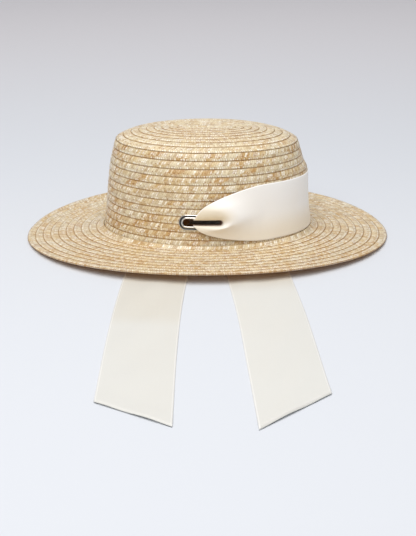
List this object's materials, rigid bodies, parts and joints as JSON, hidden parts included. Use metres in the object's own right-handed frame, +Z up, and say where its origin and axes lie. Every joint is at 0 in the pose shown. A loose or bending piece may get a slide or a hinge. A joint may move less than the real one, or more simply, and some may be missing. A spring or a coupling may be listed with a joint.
{
  "type": "straw boater hat",
  "caption": "Oval straw boater hat with a domed tip and a wide flat brim; a broad satin ribbon runs through oval metal eyelets and lies out in front as flat tails.",
  "frame": {"origin": "on the surface the hat rests on, under the middle of the crown, on the underside of the ribbon that crosses there", "axes": "+X along the hat's length towards the ribboned side, +Y towards the back, away from the ribbon's tails, +Z up"},
  "size_m": [0.357, 0.6485, 0.1088],
  "materials": {
    "straw_crown": "sewn straw plait, lightly glossy",
    "straw_brim": "sewn straw plait, lightly glossy",
    "ribbon_satin": "satin weave, soft sheen",
    "eyelet_metal": "polished"
  },
  "bodies": {
    "root": {"crown": "straw_crown", "brim": "straw_brim", "ribbon": "ribbon_satin", "eyelet_front": "eyelet_metal", "eyelet_back": "eyelet_metal"}
  },
  "joints": []
}
